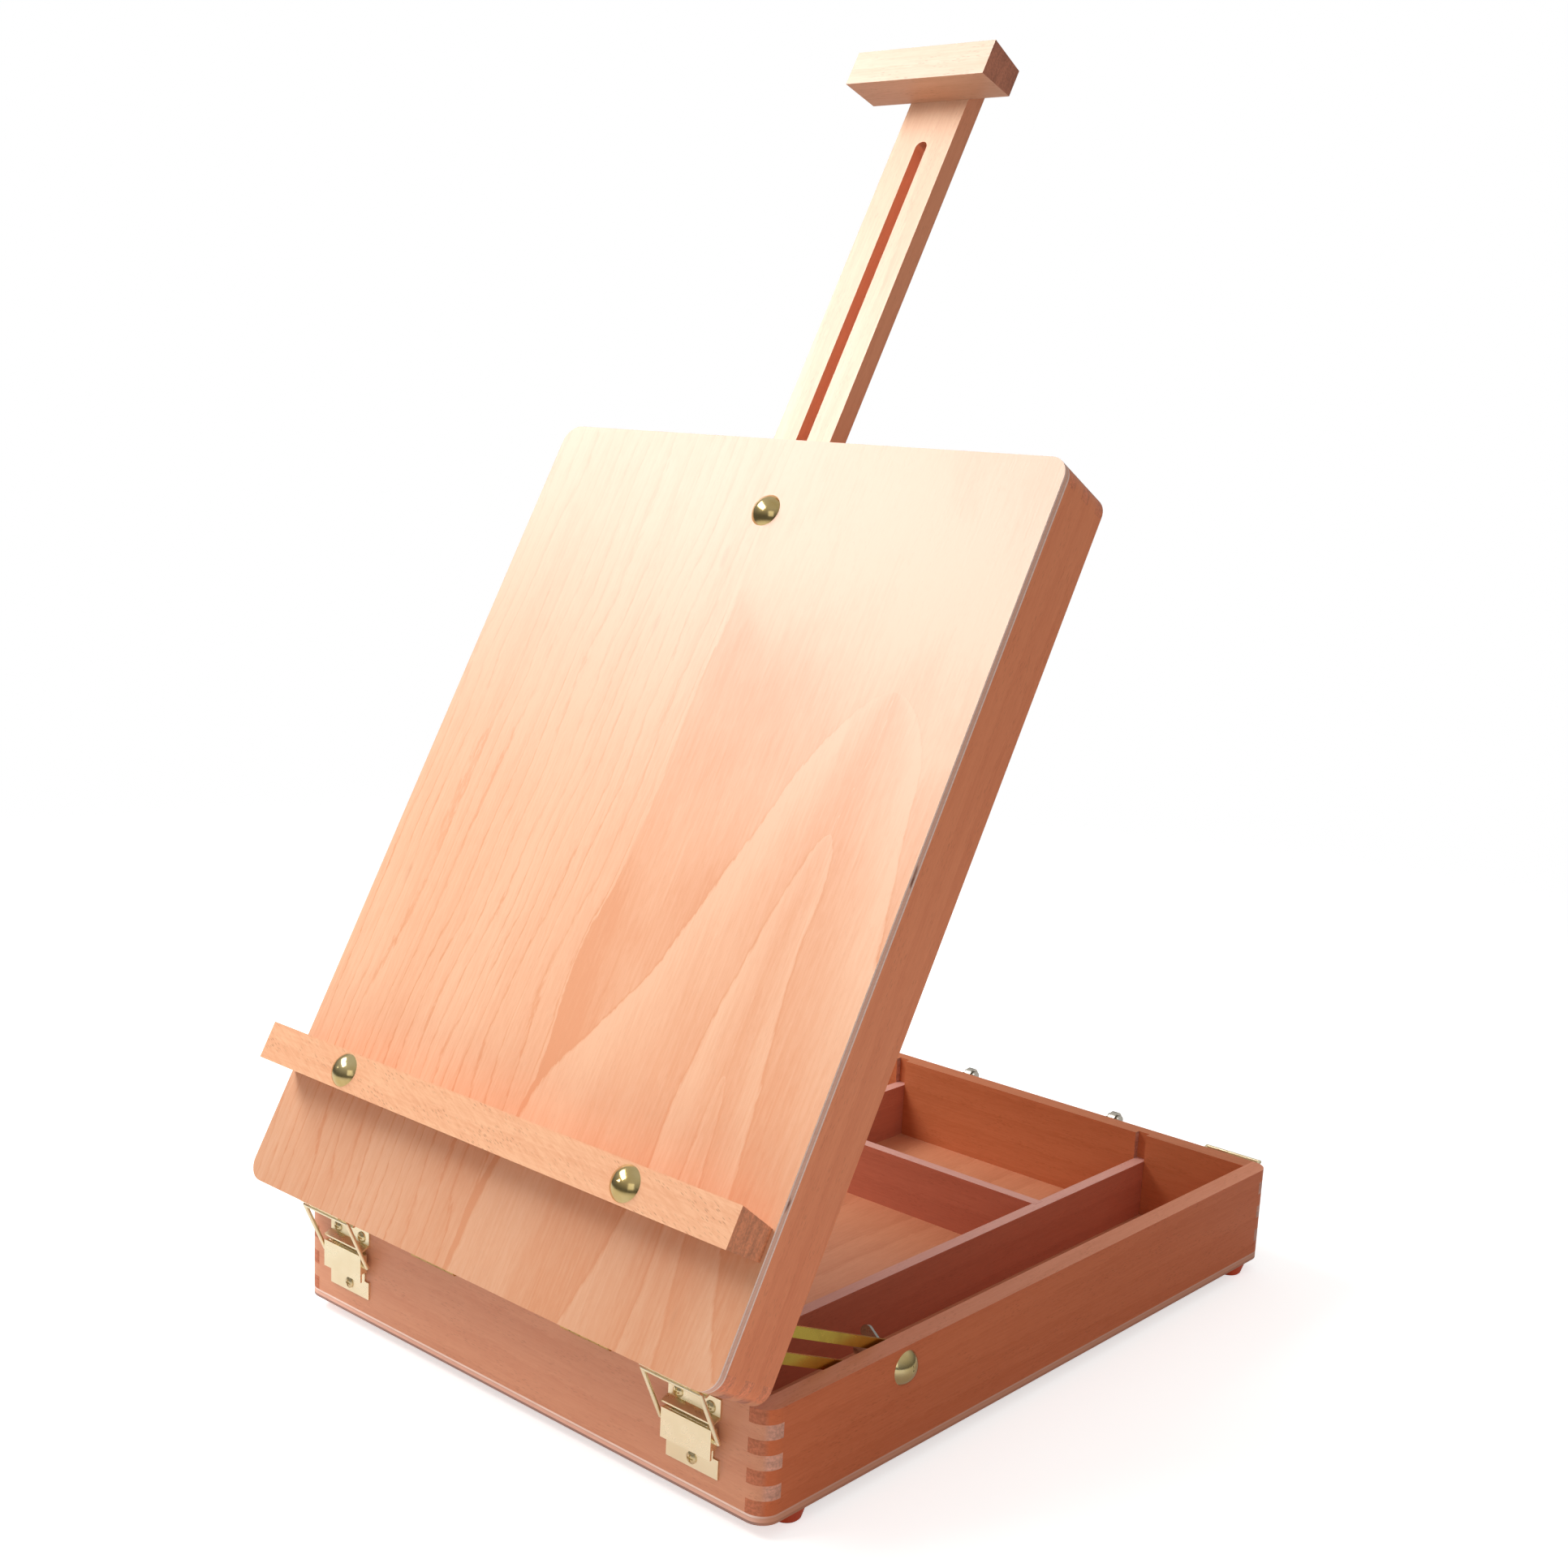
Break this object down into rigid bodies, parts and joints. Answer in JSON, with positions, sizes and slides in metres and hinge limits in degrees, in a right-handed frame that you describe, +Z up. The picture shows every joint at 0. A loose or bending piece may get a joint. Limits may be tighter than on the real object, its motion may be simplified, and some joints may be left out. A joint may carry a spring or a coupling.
{
  "type": "tabletop box easel",
  "caption": "Shallow wooden painter's case whose lid stands up on slotted stays as an easel, with a canvas ledge, a sliding mast clamp, divided trays, toggle latches and a carrying handle.",
  "frame": {"origin": "on the ground, under the centre of the whole object's extent with the lid standing", "axes": "+X to the right as seen by the painter, +Y towards the back with the carrying handle, +Z up"},
  "size_m": [0.3084, 0.465, 0.6068],
  "materials": {
    "base_wood": "satin varnish",
    "lid_rail_wood": "satin varnish",
    "bottom_ply": "satin varnish",
    "divider_wood": "satin varnish",
    "panel_ply": "satin varnish",
    "ledge_wood": "satin varnish",
    "mast_wood": "satin varnish",
    "foot_rubber": "matte",
    "bolt_brass": "polished",
    "latch_brass": "polished",
    "screw_brass": "polished",
    "hinge_brass": "satin",
    "stay_zinc": "yellow zinc",
    "nut_steel": "satin",
    "handle_steel": "satin",
    "grip_leather": "smooth"
  },
  "bodies": {
    "base": {"base_front_wall": "base_wood", "base_back_wall": "base_wood", "base_left_wall": "base_wood", "base_right_wall": "base_wood", "base_bottom": "bottom_ply", "long_divider": "divider_wood", "cross_divider": "divider_wood", "short_divider": "divider_wood", "rubber_feet": "foot_rubber", "stay_bolts": "bolt_brass", "front_latch_plates": "latch_brass", "back_latch_plates": "latch_brass", "latch_pivot_pins": "latch_brass", "base_screws": "screw_brass", "hinge_base_leaves": "hinge_brass", "hinge_pins": "hinge_brass", "handle_brackets": "handle_steel", "handle_pins": "handle_steel"},
    "lid": {"lid_panel": "panel_ply", "lid_bottom_rail": "lid_rail_wood", "lid_top_rail": "lid_rail_wood", "lid_left_rail": "lid_rail_wood", "lid_right_rail": "lid_rail_wood", "hinge_lid_leaves": "hinge_brass", "front_catches": "latch_brass", "back_catches": "latch_brass", "lid_screws": "screw_brass", "canvas_ledge": "ledge_wood", "ledge_bolts": "bolt_brass", "mast_bolt": "bolt_brass", "clamp_washers": "nut_steel", "left_mast_guide": "mast_wood", "right_mast_guide": "mast_wood", "stay_pivot_screws": "nut_steel"},
    "mast_carriage": {"mast": "mast_wood", "canvas_clamp": "mast_wood", "clamp_screws": "screw_brass"},
    "handle_loop": {"handle_frame": "handle_steel", "handle_grip": "grip_leather"},
    "left_stay_bar": {"left_stay": "stay_zinc"},
    "left_stay_stud_end": {"left_stay_stud": "nut_steel"},
    "left_stay_wing_nut": {"left_stay_nut": "nut_steel"},
    "left_ledge_wing_nut": {"left_ledge_nut": "nut_steel"},
    "right_stay_bar": {"right_stay": "stay_zinc"},
    "right_stay_stud_end": {"right_stay_stud": "nut_steel"},
    "right_stay_wing_nut": {"right_stay_nut": "nut_steel"},
    "right_ledge_wing_nut": {"right_ledge_nut": "nut_steel"},
    "mast_wing_nut": {"mast_nut": "nut_steel"},
    "front_left_latch_lever": {"front_left_lever": "latch_brass"},
    "front_left_latch_loop": {"front_left_loop": "latch_brass"},
    "front_right_latch_lever": {"front_right_lever": "latch_brass"},
    "front_right_latch_loop": {"front_right_loop": "latch_brass"},
    "back_left_latch_lever": {"back_left_lever": "latch_brass"},
    "back_left_latch_loop": {"back_left_loop": "latch_brass"},
    "back_right_latch_lever": {"back_right_lever": "latch_brass"},
    "back_right_latch_loop": {"back_right_loop": "latch_brass"}
  },
  "joints": [
    {"name": "lid_hinge", "type": "hinge", "parent": "base", "child": "lid", "pos_m": [0, -0.2007, 0.05554], "axis": [1, 0, 0], "range_deg": [-61, 0]},
    {"name": "mast_slide", "type": "slide", "parent": "lid", "child": "mast_carriage", "axis": [0, 0.4848, 0.8746], "range_m": [-0.181, 0.02]},
    {"name": "left_stay_pivot", "type": "hinge", "parent": "lid", "child": "left_stay_bar", "pos_m": [-0.1376, -0.20468, 0.08747], "axis": [1, 0, 0], "range_deg": [0, 62]},
    {"name": "left_stay_slot", "type": "slide", "parent": "left_stay_bar", "child": "left_stay_stud_end", "axis": [0, 0.9195, -0.3931], "range_m": [-0.0335, 0]},
    {"name": "left_stay_nut_turn", "type": "hinge", "parent": "left_stay_stud_end", "child": "left_stay_wing_nut", "pos_m": [-0.13, -0.11, 0.047], "axis": [1, 0, 0], "continuous": true},
    {"name": "left_ledge_nut_turn", "type": "hinge", "parent": "lid", "child": "left_ledge_wing_nut", "pos_m": [-0.09, -0.19291, 0.1252], "axis": [0, -0.8746, 0.4848], "continuous": true},
    {"name": "right_stay_pivot", "type": "hinge", "parent": "lid", "child": "right_stay_bar", "pos_m": [0.1376, -0.20468, 0.08747], "axis": [1, 0, 0], "range_deg": [0, 62]},
    {"name": "right_stay_slot", "type": "slide", "parent": "right_stay_bar", "child": "right_stay_stud_end", "axis": [0, 0.9195, -0.3931], "range_m": [-0.0335, 0]},
    {"name": "right_stay_nut_turn", "type": "hinge", "parent": "right_stay_stud_end", "child": "right_stay_wing_nut", "pos_m": [0.13, -0.11, 0.047], "axis": [1, 0, 0], "continuous": true},
    {"name": "right_ledge_nut_turn", "type": "hinge", "parent": "lid", "child": "right_ledge_wing_nut", "pos_m": [0.09, -0.19291, 0.1252], "axis": [0, -0.8746, 0.4848], "continuous": true},
    {"name": "mast_nut_turn", "type": "hinge", "parent": "lid", "child": "mast_wing_nut", "pos_m": [0, -0.03775, 0.38449], "axis": [0, -0.8746, 0.4848], "continuous": true},
    {"name": "front_left_lever_pivot", "type": "hinge", "parent": "base", "child": "front_left_latch_lever", "pos_m": [-0.115, -0.2007, 0.0412], "axis": [-1, 0, 0], "range_deg": [0, 90]},
    {"name": "front_left_loop_pivot", "type": "hinge", "parent": "front_left_latch_lever", "child": "front_left_latch_loop", "pos_m": [-0.115, -0.201, 0.0366], "axis": [1, 0, 0], "range_deg": [0, 140]},
    {"name": "front_right_lever_pivot", "type": "hinge", "parent": "base", "child": "front_right_latch_lever", "pos_m": [0.111, -0.2007, 0.0412], "axis": [-1, 0, 0], "range_deg": [0, 90]},
    {"name": "front_right_loop_pivot", "type": "hinge", "parent": "front_right_latch_lever", "child": "front_right_latch_loop", "pos_m": [0.111, -0.201, 0.0366], "axis": [1, 0, 0], "range_deg": [0, 140]},
    {"name": "back_left_lever_pivot", "type": "hinge", "parent": "base", "child": "back_left_latch_lever", "pos_m": [-0.113, 0.2047, 0.0412], "axis": [1, 0, 0], "range_deg": [0, 90]},
    {"name": "back_left_loop_pivot", "type": "hinge", "parent": "back_left_latch_lever", "child": "back_left_latch_loop", "pos_m": [-0.113, 0.205, 0.0366], "axis": [-1, 0, 0], "range_deg": [0, 140]},
    {"name": "back_right_lever_pivot", "type": "hinge", "parent": "base", "child": "back_right_latch_lever", "pos_m": [0.113, 0.2047, 0.0412], "axis": [1, 0, 0], "range_deg": [0, 90]},
    {"name": "back_right_loop_pivot", "type": "hinge", "parent": "back_right_latch_lever", "child": "back_right_latch_loop", "pos_m": [0.113, 0.205, 0.0366], "axis": [-1, 0, 0], "range_deg": [0, 140]},
    {"name": "handle_pivot", "type": "hinge", "parent": "base", "child": "handle_loop", "pos_m": [0, 0.2081, 0.054], "axis": [1, 0, 0], "range_deg": [0, 110]}
  ],
  "couplings": [
    {"joint": "left_stay_pivot", "follows": "lid_hinge", "ratio": -1.0019},
    {"joint": "left_stay_slot", "follows": "lid_hinge", "m_per_rad": 0.03068},
    {"joint": "right_stay_pivot", "follows": "lid_hinge", "ratio": -1.0019},
    {"joint": "right_stay_slot", "follows": "lid_hinge", "m_per_rad": 0.03068},
    {"joint": "front_left_loop_pivot", "follows": "front_left_lever_pivot", "ratio": 1.27},
    {"joint": "front_right_loop_pivot", "follows": "front_right_lever_pivot", "ratio": 1.27},
    {"joint": "back_left_loop_pivot", "follows": "back_left_lever_pivot", "ratio": 1.27},
    {"joint": "back_right_loop_pivot", "follows": "back_right_lever_pivot", "ratio": 1.27}
  ]
}
